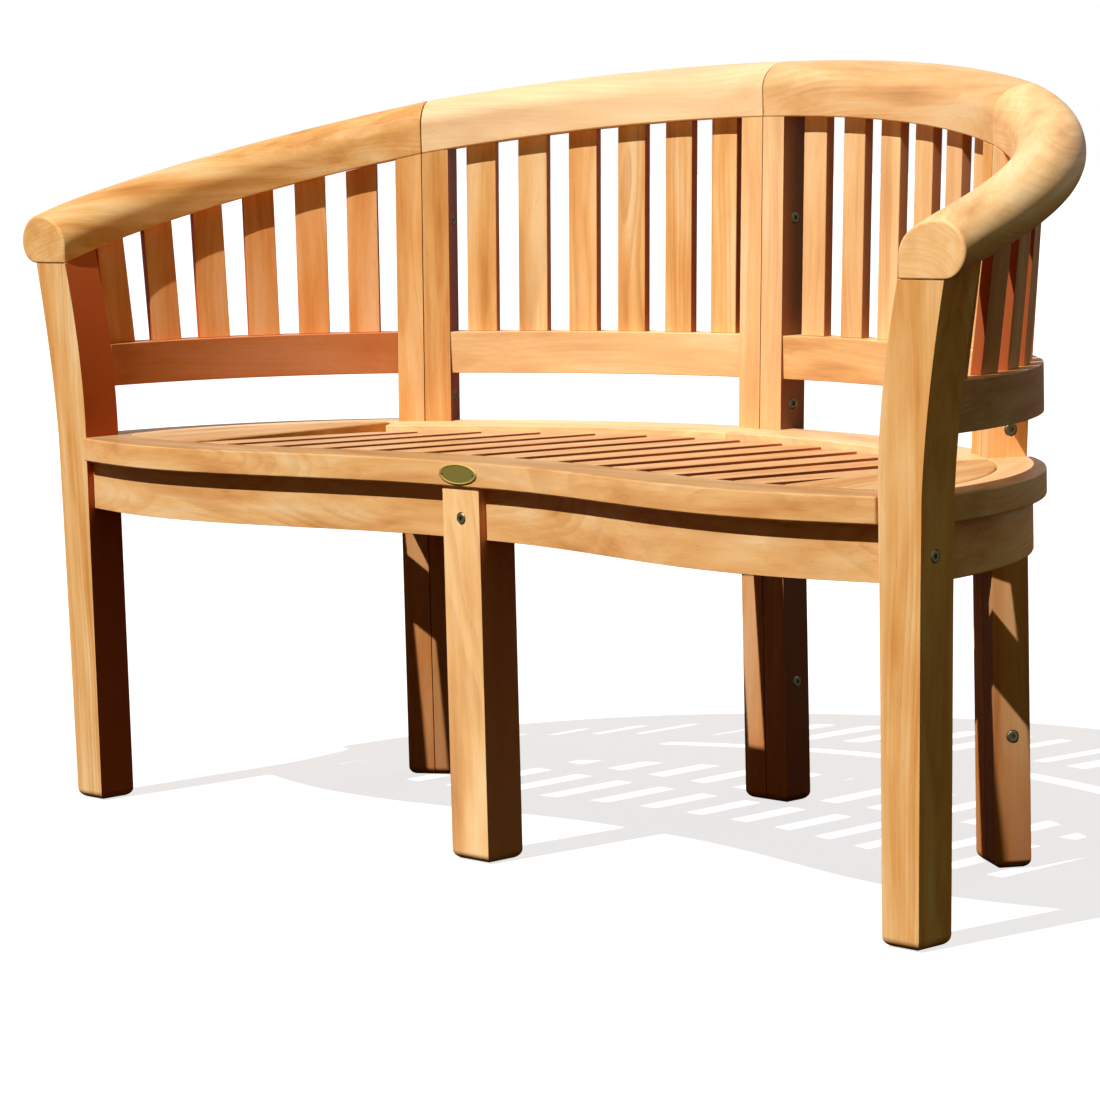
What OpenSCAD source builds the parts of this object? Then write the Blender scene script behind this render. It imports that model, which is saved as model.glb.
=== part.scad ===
// Curved four-panel garden bench ("banana bench") in solid teak.
// Millimetres, +Z up, X along the bench, -Y towards the sitter's knees.
// Origin: on the floor, under the middle of the bench's box.
// Nothing moves: posts, rails, slats, seat boards and fasteners are all fixed.
// The bench's plan is an inner curve: an arc over the two back panels, a tighter arc over each
// arm panel and a short straight run to the front post. Places along it are arc lengths from the
// middle of the back; an offset is measured outwards from it.

/* [Plan curve] */
// Radius of the two back panels
back_r = 826.2; // [760:0.1:900]
// Angle turned by the curve between the centre post and a corner post
corner_ang = 32.23; // [29:0.01:35]
// Radius of the two arm panels
arm_r = 403.6; // [370:0.1:440]
// Straight run of the curve beside each front post
arm_straight = 31.8; // [10:0.1:60]

/* [Seat] */
// Top of the seat ring above the floor
seat_h = 438; // [400:1:480]
// Thickness of the seat ring's boards
board_t = 28; // [20:1:36]
// How far the seat slats are sunk at their back ends
slat_sink = 8; // [0:1:14]
// Width of the front board
front_w = 62; // [50:1:80]
// How far the waist lies behind the front posts' faces
waist_in = 28; // [15:1:36]
// How far the two bulges stand forward of the waist
bulge = 58; // [45:1:75]
// Place of the bulges, as a share of the way to the front post
bulge_share = 0.7325; // [0.65:0.0005:0.8]
// Place of the last seat slat's gap, as a share of the way to the front post
slats_share = 0.7537; // [0.7:0.0001:0.78]
// Gap between two seat slats
seat_gap = 20; // [8:1:28]
// Offset of the back boards' outer edge
back_edge = 22; // [14:1:34]
// Width of the back boards in front of the posts
back_in = 56; // [44:1:70]
// Offset of the side boards' outer edge
side_edge = 48; // [40:1:60]

/* [Aprons] */
// Height of the aprons under the ring
apron_h = 57; // [45:1:80]
// Thickness of the aprons
apron_t = 24; // [18:1:28]
// Set-in of the front apron behind the front edge
apron_in = 13; // [10:1:16]
// Height of the bearers under the seat slats
bearer_h = 24; // [16:1:34]

/* [Posts] */
// Width of one half post, along the curve
half_w = 33.25; // [28:0.25:40]
// Depth of the rear posts, across the curve
post_d = 40; // [34:1:52]
// Depth of the front posts
front_d = 48; // [38:1:60]
// Width of the front posts at the floor
front_foot_w = 46.5; // [40:0.5:52]
// Width of the front posts at the seat
front_seat_w = 53; // [46:0.5:60]
// Width of the middle leg
mid_w = 58; // [44:1:62]
// Depth of the middle leg
mid_d = 51; // [44:1:64]
// Rounding of the feet's bottom edges
foot_r = 10; // [2:1:14]

/* [Back] */
// Underside of the top rail above the seat, at the centre post
back_h = 359; // [320:1:400]
// Drop of the top rail from the centre post to a corner post
rail_drop = 34.6; // [20:0.1:50]
// Drop of the top rail from a corner post to the arm's end
arm_drop = 118.6; // [95:0.1:135]
// Height of the top rail at the centre post
rail_h = 63; // [52:1:75]
// Width of the top rail over the back
rail_w = 68; // [60:1:76]
// Width of the top rail at the arm ends
rail_w_end = 84; // [76:1:96]
// Outward lean of the centre post at the top rail
lean_centre = 15.5; // [8:0.1:24]
// Outward lean of the corner posts at the top rail
lean_corner = 17.4; // [10:0.1:24]
// Outward lean of the front posts at the top rail
lean_front = 28; // [22:0.1:34]
// Space between the seat and the lower rails
low_gap = 58; // [44:1:75]
// Height of the lower rails
low_h = 50; // [36:1:64]
// Width of a back slat
slat_w = 38; // [28:1:46]
// Thickness of a back slat
slat_t = 12; // [8:1:16]
// Set-back of the back slats behind the inner curve
slat_back = 14; // [10:1:20]

/* [Fasteners] */
// Shank diameter of the bolts
bolt_d = 8; // [6:0.5:9]
// Head diameter of the bolts
head_d = 13; // [11:0.5:16]
// Height of the bolt heads
head_h = 4; // [3.6:0.1:6]
// Depth of the counterbores
cbore_h = 3.4; // [1.5:0.1:5]
// Height of the lowest bolt in each double post
bolt_low_z = 142; // [80:1:260]
// Length of the trade plate
plate_len = 60; // [40:1:62]
// Height of the trade plate
plate_h = 22; // [14:1:24]

/* [Hidden] */
$fn = 48;
teak = [0.80, 0.58, 0.33];
brass = [0.72, 0.60, 0.35];
steel = [0.70, 0.70, 0.68];

// Plan curve
deg = 180 / PI;
front_dy = -back_r + (back_r - arm_r) * cos(corner_ang) - arm_straight;
back_y = -(lean_centre + rail_w + front_dy + waist_in - bulge) / 2;
front_y = back_y + front_dy;
waist_y = front_y + waist_in;
// centres of the back's arc (at X = 0) and of the right arm's arc
back_cy = back_y - back_r;
corner_x = back_r * sin(corner_ang);
corner_y = back_cy + back_r * cos(corner_ang);
arm_cx = corner_x - arm_r * sin(corner_ang);
arm_cy = corner_y - arm_r * cos(corner_ang);
// arc lengths: to the corner post, to the end of the arm's arc, to the rail's end
rail_past = 1;
s_corner = back_r * corner_ang / deg;
s_arc = s_corner + arm_r * (90 - corner_ang) / deg;
s_end = s_arc + arm_straight + rail_past;
arm_len = s_end - s_corner;
s_post_face = s_arc + arm_straight;
s_post_back = s_post_face - front_d;

function turn(s) = s <= s_corner ? s / back_r * deg
  : min(90, corner_ang + (s - s_corner) / arm_r * deg);
function pt(s, o) = s <= s_corner
  ? [(back_r + o) * sin(turn(s)), back_cy + (back_r + o) * cos(turn(s))]
  : [arm_cx + (arm_r + o) * sin(turn(s)), arm_cy + (arm_r + o) * cos(turn(s)) - max(0, s - s_arc)];
function back_arc(o, a0, a1, n) = [for (i = [0 : n]) let(a = a0 + (a1 - a0) * i / n)
  [(back_r + o) * sin(a), back_cy + (back_r + o) * cos(a)]];
function arm_arc(o, a0, a1, n) = [for (i = [0 : n]) let(a = a0 + (a1 - a0) * i / n)
  [arm_cx + (arm_r + o) * sin(a), arm_cy + (arm_r + o) * cos(a)]];
// angles where an offset curve meets the posts' side faces
function back_from(o) = asin(half_w / (back_r + o));
function back_to(o) = corner_ang - asin(half_w / (back_r + o));
function arm_from(o) = corner_ang + asin(half_w / (arm_r + o));
function arm_to(o) = acos((front_y + front_d - arm_cy) / (arm_r + o));
// a point of the inner curve's tangent frame at the corner post
function at_corner(x) = [corner_x + x * cos(corner_ang), corner_y - x * sin(corner_ang)];
function rev(v) = [for (i = [len(v) - 1 : -1 : 0]) v[i]];

// Top rail's run
rail_z = seat_h + back_h;
arm_even = 0.723;
rail_h_corner = 1;
rail_h_end = 6;
function arm_share(s) = max(0, (s - s_corner) / arm_len);
function rail_under(s) = s <= s_corner ? rail_z - rail_drop * pow(s / s_corner, 2)
  : rail_z - rail_drop - arm_drop * arm_share(s) * (arm_even + (1 - arm_even) * arm_share(s));
function rail_tall(s) = s <= s_corner ? rail_h + rail_h_corner * s / s_corner
  : rail_h + rail_h_corner - (rail_h_corner + rail_h_end) * arm_share(s);
function rail_wide(s) = rail_w + (rail_w_end - rail_w) * pow(arm_share(s), 2);
function lean(s) = s <= s_corner
  ? lean_centre + (lean_corner - lean_centre) * s / s_corner
  : lean_corner + (lean_front - lean_corner) * min(1, (s - s_corner) / (s_arc - s_corner));

// Seat's edges and heights
under_z = seat_h - board_t;
front_x = arm_cx + arm_r - 1;
bulge_x = bulge_share * front_x;
waist_flat = 32;
post_back_in = 26;
function front_edge(x) = let(a = abs(x)) a <= waist_flat ? waist_y
  : a <= bulge_x
  ? waist_y - bulge * (1 - cos(180 * (a - waist_flat) / (bulge_x - waist_flat))) / 2
  : waist_y - bulge + post_back_in * (1 - cos(90 * min(1, (a - bulge_x) / (front_x - bulge_x))));
function back_inner(x) = let(a = abs(x)) a < pt(s_corner, -back_in)[0]
  ? back_cy + sqrt(pow(back_r - back_in, 2) - a * a)
  : arm_cy + sqrt(pow(arm_r - back_in, 2) - pow(a - arm_cx, 2));
// points along X from -w to w
function along(w, n) = [for (i = [0 : n]) -w + 2 * w * i / n];

// Placing
module left_half() { mirror([1, 0, 0]) children(); }
module at_post(s) {
  translate([pt(s, 0)[0], pt(s, 0)[1], 0]) rotate([0, 0, -turn(s)]) children();
}
module along_x(x0, x1) {
  translate([x0, 0, 0]) rotate([90, 0, 90]) linear_extrude(height = x1 - x0) children();
}
module along_y(y0, y1) {
  translate([0, y1, 0]) rotate([90, 0, 0]) linear_extrude(height = y1 - y0) children();
}

// Rounded bottom corners of a foot: on the left going down, on the right going up
round_n = 6;
function foot_left(x) = [for (i = [0 : round_n]) let(a = 90 * i / round_n)
  [x + foot_r - foot_r * cos(a), foot_r - foot_r * sin(a)]];
function foot_right(x) = [for (i = [0 : round_n]) let(a = 90 * i / round_n)
  [x - foot_r + foot_r * sin(a), foot_r - foot_r * cos(a)]];

// Rear half posts, in the post's own frame: upright to the seat, then leaning outwards
touch = 0.1;
hole_play = 0.6;
bolt_set = 1;
low_z = seat_h + low_gap;
bolt_heights = [bolt_low_z, seat_h + low_gap / 2, seat_h + 0.677 * back_h];
function post_slope(s) = lean(s) / (rail_under(s) - seat_h);
function bolt_y(s, z) = post_d / 2 + bolt_set + max(0, post_slope(s) * (z - seat_h));
module half_post_shape(s, side) {
  x0 = side > 0 ? 0 : -half_w;
  x1 = side > 0 ? half_w : 0;
  z0 = rail_under(abs(s + x0)) - touch;
  z1 = rail_under(abs(s + x1)) - touch;
  z_top = max(z0, z1) + 1;
  y_top = post_slope(s) * (z_top - seat_h);
  difference() {
    intersection() {
      along_x(x0, x1) polygon(concat(foot_left(0), foot_right(post_d),
        [[post_d, seat_h], [post_d + y_top, z_top], [y_top, z_top], [0, seat_h]]));
      along_y(-1, post_d + y_top + 1) polygon(side > 0
        ? concat([[0, 0]], foot_right(x1), [[x1, z1], [x0, z0]])
        : concat(foot_left(x0), [[0, 0], [x1, z1], [x0, z0]]));
    }
    for (z = bolt_heights) translate([0, bolt_y(s, z), z]) rotate([0, 90 * side, 0]) {
      translate([0, 0, -1]) cylinder(d = bolt_d + hole_play, h = half_w + 2);
      translate([0, 0, half_w - cbore_h]) cylinder(d = head_d + 1, h = cbore_h + 1);
    }
  }
}

// Front posts: they bow outwards above the seat
foot_in = 3.5;
knee_z = seat_h - 93;
bow_in_z = seat_h + 2;
bow_out_z = seat_h - 38;
post_top_w = 57.5;
front_top_z = rail_under(s_end);
seat_bolt_y = front_edge(front_x) + apron_in + apron_t / 2;
seat_bolt_z = under_z - apron_h / 2;
function post_inner(z) = z <= knee_z ? front_x - foot_in * (1 - z / knee_z)
  : z <= bow_in_z ? front_x
  : front_x + (lean_front + 0.5) * pow((z - bow_in_z) / (front_top_z - bow_in_z), 1.8);
function post_outer(z) = z <= bow_out_z
  ? front_x - foot_in + front_foot_w + (front_seat_w - front_foot_w + foot_in) * z / bow_out_z
  : front_x + front_seat_w + (lean_front + 0.5 + post_top_w - front_seat_w)
    * pow((z - bow_out_z) / (front_top_z - bow_out_z), 1.6);
module front_post_shape() {
  y1 = front_y + front_d;
  z_top = rail_under(s_post_back) + 2;
  levels = concat([for (i = [0 : 3]) foot_r + (knee_z - foot_r) * i / 3],
    [for (i = [0 : 14]) bow_in_z + (z_top - bow_in_z) * i / 14]);
  difference() {
    intersection() {
      along_y(front_y, y1) polygon(concat(
        rev([for (z = levels) [post_inner(z), z]]), foot_left(post_inner(0)),
        foot_right(post_outer(0)), [for (z = levels) [post_outer(z), z]]));
      along_x(front_x - 20, front_x + 120) polygon(concat(foot_left(front_y), foot_right(y1),
        [[y1, rail_under(s_post_back) - touch], [front_y, rail_under(s_post_face) - touch]]));
    }
    translate([front_x - 10, seat_bolt_y, seat_bolt_z]) rotate([0, 90, 0])
      cylinder(d = bolt_d + hole_play, h = 80);
    translate([post_outer(seat_bolt_z) - cbore_h, seat_bolt_y, seat_bolt_z]) rotate([0, 90, 0])
      cylinder(d = head_d + 1, h = 20);
  }
}

// Middle leg: bridled over the front apron, with the front bearer on its rear cheek
mid_set = 3;
mid_y = waist_y + mid_set;
slot_play = 0.2;
mid_bolt_z = under_z - 0.6 * apron_h;
module middle_leg_shape() {
  apron_y = waist_y + apron_in;
  y1 = mid_y + mid_d;
  difference() {
    intersection() {
      along_y(mid_y, y1) polygon(concat(foot_left(-mid_w / 2), foot_right(mid_w / 2),
        [[mid_w / 2, under_z], [-mid_w / 2, under_z]]));
      along_x(-mid_w, mid_w) polygon(concat(foot_left(mid_y), foot_right(y1),
        [[y1, under_z + 1], [mid_y, under_z + 1]]));
    }
    translate([-mid_w, apron_y - slot_play, under_z - apron_h])
      cube([2 * mid_w, apron_t + 2 * slot_play, apron_h + 5]);
    translate([-mid_w, apron_y + apron_t, under_z - bearer_h]) cube([2 * mid_w, mid_d, 2 * bearer_h]);
    translate([0, mid_y, mid_bolt_z]) rotate([-90, 0, 0]) {
      translate([0, 0, -1]) cylinder(d = bolt_d + hole_play, h = mid_d + 2);
      translate([0, 0, -1]) cylinder(d = head_d + 1, h = cbore_h + 1);
    }
  }
}

// Top rail: a mushroom section swept along the curve.
// The section is three quarter ellipses: inner side up to the crown, crown down to the outer
// extreme, and back under to the flat underside. Its points are offset and height.
crown_share = 0.6;
widest_share = 0.45;
under_share = 0.69;
inner_flat = 0.51;
inner_flat_end = 0.37;
arc_in_n = 8;
arc_out_n = 6;
function inner_share(s) = inner_flat + (inner_flat_end - inner_flat) * arm_share(s);
function rail_section(w, h, f) =
  let(xc = crown_share * w, zm = widest_share * h, xb = under_share * w) concat(
  [[0, 0]],
  [for (i = [0 : arc_in_n]) let(a = 90 * i / arc_in_n)
    [xc - xc * cos(a), f * h + (1 - f) * h * sin(a)]],
  [for (i = [1 : arc_out_n]) let(a = 90 * i / arc_out_n)
    [xc + (w - xc) * sin(a), zm + (h - zm) * cos(a)]],
  [for (i = [1 : arc_out_n]) let(a = 90 * i / arc_out_n)
    [xb + (w - xb) * cos(a), zm - zm * sin(a)]]);
module rail_shape(s0, s1, n) {
  m = len(rail_section(1, 1, inner_flat));
  spots = [for (i = [0 : n]) let(s = s0 + (s1 - s0) * i / n)
    for (p = rail_section(rail_wide(s), rail_tall(s), inner_share(s)))
      let(c = pt(s, lean(s) + p[0])) [c[0], c[1], rail_under(s) + p[1]]];
  polyhedron(points = spots, faces = concat(
    [[for (j = [0 : m - 1]) j]],
    [for (i = [0 : n - 1]) for (j = [0 : m - 1])
      [i * m + j, (i + 1) * m + j, (i + 1) * m + (j + 1) % m]],
    [for (i = [0 : n - 1]) for (j = [0 : m - 1])
      [i * m + j, (i + 1) * m + (j + 1) % m, i * m + (j + 1) % m]],
    [[for (j = [m - 1 : -1 : 0]) n * m + j]]));
}
rail_back_n = 18;
rail_arm_n = 24;

// Lower rails: curved boards on edge between the posts; the arms' ones widen to the front
low_in = 7;
low_out = 42;
low_flare = 14;
module lower_back_shape() {
  translate([0, 0, low_z]) linear_extrude(height = low_h) polygon(concat(
    back_arc(low_in, back_from(low_in), back_to(low_in), 20),
    rev(back_arc(low_out, back_from(low_out), back_to(low_out), 20))));
}
module lower_arm_shape() {
  n = 24;
  a0 = arm_from(low_out);
  a1 = arm_to(low_out + low_flare);
  outer = [for (i = [0 : n]) let(a = a0 + (a1 - a0) * i / n, r = arm_r + low_out + low_flare * i / n)
    [arm_cx + r * sin(a), i == n ? front_y + front_d : arm_cy + r * cos(a)]];
  translate([0, 0, low_z]) linear_extrude(height = low_h)
    polygon(concat(arm_arc(low_in, arm_from(low_in), arm_to(low_in), n), rev(outer)));
}

// Back slats: six flat boards in each panel, from the lower rail up to the top rail
panel_slats = 6;
back_pitch = 0.14;
arm_pitch = 0.1324;
slat_foot_lean = 4.7;
slat_foot_lean_corner = 5.8;
slat_foot_lean_end = 7.9;
slat_touch = 0.15;
arm_slat_back = slat_back + 2;
function foot_lean(s) = s <= s_corner
  ? slat_foot_lean + (slat_foot_lean_corner - slat_foot_lean) * s / s_corner
  : slat_foot_lean_corner + (slat_foot_lean_end - slat_foot_lean_corner) * arm_share(s);
module back_slat(s, set_back) {
  z_foot = low_z + low_h;
  hw = slat_w / 2;
  z0 = rail_under(s - hw) - slat_touch;
  z1 = rail_under(s + hw) - slat_touch;
  y_foot = set_back + foot_lean(s);
  slope = (set_back + lean(s) - y_foot) / (rail_under(s) - z_foot);
  y0 = y_foot + slope * (z0 - z_foot);
  y1 = y_foot + slope * (z1 - z_foot);
  at_post(s) polyhedron(
    points = [
      [-hw, y_foot, z_foot], [hw, y_foot, z_foot],
      [hw, y_foot + slat_t, z_foot], [-hw, y_foot + slat_t, z_foot],
      [-hw, y0, z0], [hw, y1, z1], [hw, y1 + slat_t, z1], [-hw, y0 + slat_t, z0]],
    faces = [[0, 1, 2, 3], [7, 6, 5, 4], [4, 5, 1, 0], [5, 6, 2, 1], [6, 7, 3, 2], [7, 4, 0, 3]]);
}
module back_panel_slats() {
  for (i = [0 : panel_slats - 1])
    back_slat(s_corner * (0.5 + back_pitch * (i - (panel_slats - 1) / 2)), slat_back);
}
module arm_panel_slats() {
  for (i = [0 : panel_slats - 1])
    back_slat(s_corner + arm_len * (0.5 + arm_pitch * (i - (panel_slats - 1) / 2)), arm_slat_back);
}

// Seat ring: front board, two side boards and two back boards notched round the rear posts
side_in = -2;
module ring_board() { translate([0, 0, under_z]) linear_extrude(height = board_t) children(); }
module front_board_shape() {
  xs = along(front_x, 64);
  ring_board() polygon(concat([for (x = xs) [x, front_edge(x)]],
    rev([for (x = xs) [x, front_edge(x) + front_w]])));
}
module back_board_shape() {
  ring_board() polygon(concat(
    [[half_w, back_y], [0, back_y], [0, back_y - back_in]],
    back_arc(-back_in, 1, corner_ang, 20),
    arm_arc(-back_in, corner_ang + 1, arm_from(-back_in), 4),
    [at_corner(half_w), at_corner(-half_w)],
    rev(back_arc(back_edge, back_from(back_edge), back_to(back_edge), 24))));
}
module side_board_shape() {
  ring_board() polygon(concat(
    arm_arc(side_in, arm_from(side_in), arm_to(side_in), 28),
    rev(arm_arc(side_edge, arm_from(side_edge), arm_to(side_edge), 28))));
}

// D-shaped pieces that close the seat at both ends
end_gap = 2;
end_clear = 0.6;
end_nose = 14;
end_cut = 10;
seat_slats = 13;
slats_end = slats_share * front_x;
seat_pitch = (slats_end - seat_gap / 2) / (seat_slats / 2);
module seat_end_shape() {
  o = side_in - end_gap;
  a0 = asin((slats_end - arm_cx) / (arm_r + o));
  a1 = acos((front_edge(front_x) + front_w + end_nose - arm_cy) / (arm_r + o));
  x1 = arm_cx + (arm_r + o) * sin(a1) - end_cut;
  n = 14;
  ring_board() polygon(concat(arm_arc(o, a0, a1, 30),
    [for (i = [0 : n]) let(x = x1 + (slats_end - x1) * i / n) [x, front_edge(x) + front_w + end_clear]]));
}

// Seat slats: level underside, top falling to the back
slat_gap_front = 0.4;
slat_gap_back = 0.5;
module seat_slat_shape(k) {
  xc = (k - (seat_slats + 1) / 2) * seat_pitch;
  x0 = xc - (seat_pitch - seat_gap) / 2;
  x1 = xc + (seat_pitch - seat_gap) / 2;
  f0 = front_edge(x0) + front_w + slat_gap_front;
  f1 = front_edge(x1) + front_w + slat_gap_front;
  b0 = back_inner(x0) - slat_gap_back;
  b1 = back_inner(x1) - slat_gap_back;
  z_back = seat_h - slat_sink;
  polyhedron(
    points = [
      [x0, f0, under_z], [x1, f1, under_z], [x1, b1, under_z], [x0, b0, under_z],
      [x0, f0, seat_h], [x1, f1, seat_h], [x1, b1, z_back], [x0, b0, z_back]],
    faces = [
      [0, 1, 2], [0, 2, 3], [6, 5, 4], [7, 6, 4], [4, 5, 1], [4, 1, 0],
      [5, 6, 2], [5, 2, 1], [6, 7, 3], [6, 3, 2], [7, 4, 0], [7, 0, 3]]);
}

// Aprons and bearers
side_apron_in = 10;
back_apron_out = 12;
bearer_front_share = 0.9156;
bearer_lap = 26;
bearer_mid_y = back_y - 272.5;
bearer_mid_w = 40;
module under_board(h) { translate([0, 0, under_z - h]) linear_extrude(height = h) children(); }
module front_apron_shape() {
  xs = along(front_x, 64);
  difference() {
    under_board(apron_h) polygon(concat([for (x = xs) [x, front_edge(x) + apron_in]],
      rev([for (x = xs) [x, front_edge(x) + apron_in + apron_t]])));
    translate([0, waist_y, mid_bolt_z]) rotate([-90, 0, 0])
      cylinder(d = bolt_d + hole_play, h = apron_in + apron_t + 10);
    for (sx = [-1, 1]) translate([sx * front_x, seat_bolt_y, seat_bolt_z]) rotate([0, 90, 0])
      cylinder(d = bolt_d + hole_play, h = 2 * apron_bolt_in, center = true);
  }
}
module side_apron_shape() {
  o = side_apron_in;
  under_board(apron_h) polygon(concat(arm_arc(o, arm_from(o), arm_to(o), 24),
    rev(arm_arc(o + apron_t, arm_from(o + apron_t), arm_to(o + apron_t), 24))));
}
module back_apron_shape() {
  o = back_apron_out;
  under_board(apron_h) polygon(concat(back_arc(o - apron_t, back_from(o - apron_t), back_to(o - apron_t), 20),
    rev(back_arc(o, back_from(o), back_to(o), 20))));
}
module front_bearer_shape() {
  xs = along(bearer_front_share * front_x, 56);
  under_board(bearer_h) polygon(concat([for (x = xs) [x, front_edge(x) + apron_in + apron_t]],
    rev([for (x = xs) [x, front_edge(x) + front_w + bearer_lap]])));
}
module middle_bearer_shape() {
  function reach(y) = arm_cx + sqrt(pow(arm_r + side_apron_in, 2) - pow(y - arm_cy, 2)) - 0.3;
  y1 = bearer_mid_y + bearer_mid_w;
  under_board(bearer_h) polygon([[-reach(bearer_mid_y), bearer_mid_y], [reach(bearer_mid_y), bearer_mid_y],
    [reach(y1), y1], [-reach(y1), y1]]);
}
module back_bearer_shape() {
  o0 = -back_in - bearer_lap;
  o1 = back_apron_out - apron_t;
  a1 = corner_ang + 9;
  under_board(bearer_h) polygon(concat(
    back_arc(o0, 0, corner_ang, 20), arm_arc(o0, corner_ang + 1, a1, 5),
    rev(arm_arc(o1, corner_ang + 1, a1, 5)), rev(back_arc(o1, 0, corner_ang, 20))));
}

// Fasteners: a bolt is drawn with its head's seat at Z = 0 and its shank below
head_bevel = 1.2;
socket_d = 5.8;
socket_deep = 2.6;
nut_len = 8.6;
bolt_tip_gap = 0.4;
apron_bolt_in = 27;
mid_bolt_len = 45;
post_bolt_len = 2 * (half_w - cbore_h) - nut_len - bolt_tip_gap;
module bolt(length) {
  difference() {
    union() {
      translate([0, 0, -length]) cylinder(d = bolt_d, h = length + 0.5);
      cylinder(d = head_d, h = head_h - head_bevel);
      translate([0, 0, head_h - head_bevel])
        cylinder(d1 = head_d, d2 = head_d - 2 * head_bevel, h = head_bevel);
    }
    translate([0, 0, head_h - socket_deep]) cylinder(d = socket_d, h = socket_deep + 1, $fn = 6);
  }
}
module bolts_in_post(s, side, length) {
  for (z = bolt_heights) at_post(s)
    translate([side * (half_w - cbore_h), bolt_y(s, z), z]) rotate([0, 90 * side, 0]) bolt(length);
}
module bolts_in_posts(side, length) {
  bolts_in_post(0, side, length);
  bolts_in_post(s_corner, side, length);
  left_half() bolts_in_post(s_corner, side, length);
}
module front_post_bolt() {
  x = post_outer(seat_bolt_z) - cbore_h;
  translate([x, seat_bolt_y, seat_bolt_z]) rotate([0, 90, 0]) bolt(x - front_x + apron_bolt_in - 1);
}
module seat_bolt_set() {
  front_post_bolt();
  left_half() front_post_bolt();
  translate([0, mid_y + cbore_h, mid_bolt_z]) rotate([90, 0, 0]) bolt(mid_bolt_len);
}

// Blank oval plate on the front board, held by two pins
plate_t = 1.2;
pin_d = 2.2;
pin_len = 1.8;
pin_play = 0.2;
pin_in = 5;
plate_n = 48;
plate_z = seat_h - board_t / 2;
pin_x = plate_len / 2 - pin_in;
module plate_shape() {
  difference() {
    along_y(waist_y - plate_t, waist_y) polygon([for (i = [0 : plate_n - 1]) let(a = 360 * i / plate_n)
      [plate_len / 2 * cos(a), plate_z + plate_h / 2 * sin(a)]]);
    for (sx = [-1, 1]) translate([sx * pin_x, waist_y + 1, plate_z]) rotate([90, 0, 0])
      cylinder(d = pin_d + pin_play, h = plate_t + 2);
  }
}
module pin_pair() {
  for (sx = [-1, 1]) translate([sx * pin_x, waist_y, plate_z]) rotate([90, 0, 0])
    cylinder(d = pin_d, h = pin_len);
}

// Sub-parts
module front_post_left() { color(teak) left_half() front_post_shape(); }
module front_post_right() { color(teak) front_post_shape(); }
module middle_leg() { color(teak) middle_leg_shape(); }
module half_post_arm_left() { color(teak) left_half() at_post(s_corner) half_post_shape(s_corner, 1); }
module half_post_back_left_outer() { color(teak) left_half() at_post(s_corner) half_post_shape(s_corner, -1); }
module half_post_back_left_inner() { color(teak) left_half() at_post(0) half_post_shape(0, 1); }
module half_post_back_right_inner() { color(teak) at_post(0) half_post_shape(0, 1); }
module half_post_back_right_outer() { color(teak) at_post(s_corner) half_post_shape(s_corner, -1); }
module half_post_arm_right() { color(teak) at_post(s_corner) half_post_shape(s_corner, 1); }
module top_rail_arm_left() { color(teak) left_half() rail_shape(s_corner, s_end, rail_arm_n); }
module top_rail_back_left() { color(teak) left_half() rail_shape(0, s_corner, rail_back_n); }
module top_rail_back_right() { color(teak) rail_shape(0, s_corner, rail_back_n); }
module top_rail_arm_right() { color(teak) rail_shape(s_corner, s_end, rail_arm_n); }
module lower_rail_arm_left() { color(teak) left_half() lower_arm_shape(); }
module lower_rail_back_left() { color(teak) left_half() lower_back_shape(); }
module lower_rail_back_right() { color(teak) lower_back_shape(); }
module lower_rail_arm_right() { color(teak) lower_arm_shape(); }
module slats_arm_left() { color(teak) left_half() arm_panel_slats(); }
module slats_back_left() { color(teak) left_half() back_panel_slats(); }
module slats_back_right() { color(teak) back_panel_slats(); }
module slats_arm_right() { color(teak) arm_panel_slats(); }
module seat_board_front() { color(teak) front_board_shape(); }
module seat_board_side_left() { color(teak) left_half() side_board_shape(); }
module seat_board_side_right() { color(teak) side_board_shape(); }
module seat_board_back_left() { color(teak) left_half() back_board_shape(); }
module seat_board_back_right() { color(teak) back_board_shape(); }
module seat_slat(k) { color(teak) seat_slat_shape(k); }
module seat_end_left() { color(teak) left_half() seat_end_shape(); }
module seat_end_right() { color(teak) seat_end_shape(); }
module apron_front() { color(teak) front_apron_shape(); }
module apron_side_left() { color(teak) left_half() side_apron_shape(); }
module apron_side_right() { color(teak) side_apron_shape(); }
module apron_back_left() { color(teak) left_half() back_apron_shape(); }
module apron_back_right() { color(teak) back_apron_shape(); }
module bearer_front() { color(teak) front_bearer_shape(); }
module bearer_middle() { color(teak) middle_bearer_shape(); }
module bearer_back_left() { color(teak) left_half() back_bearer_shape(); }
module bearer_back_right() { color(teak) back_bearer_shape(); }
module post_bolts() { color(steel) bolts_in_posts(1, post_bolt_len); }
module post_nuts() { color(steel) bolts_in_posts(-1, nut_len); }
module seat_bolts() { color(steel) seat_bolt_set(); }
module trade_plate() { color(brass) plate_shape(); }
module plate_pins() { color(brass) pin_pair(); }

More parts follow.
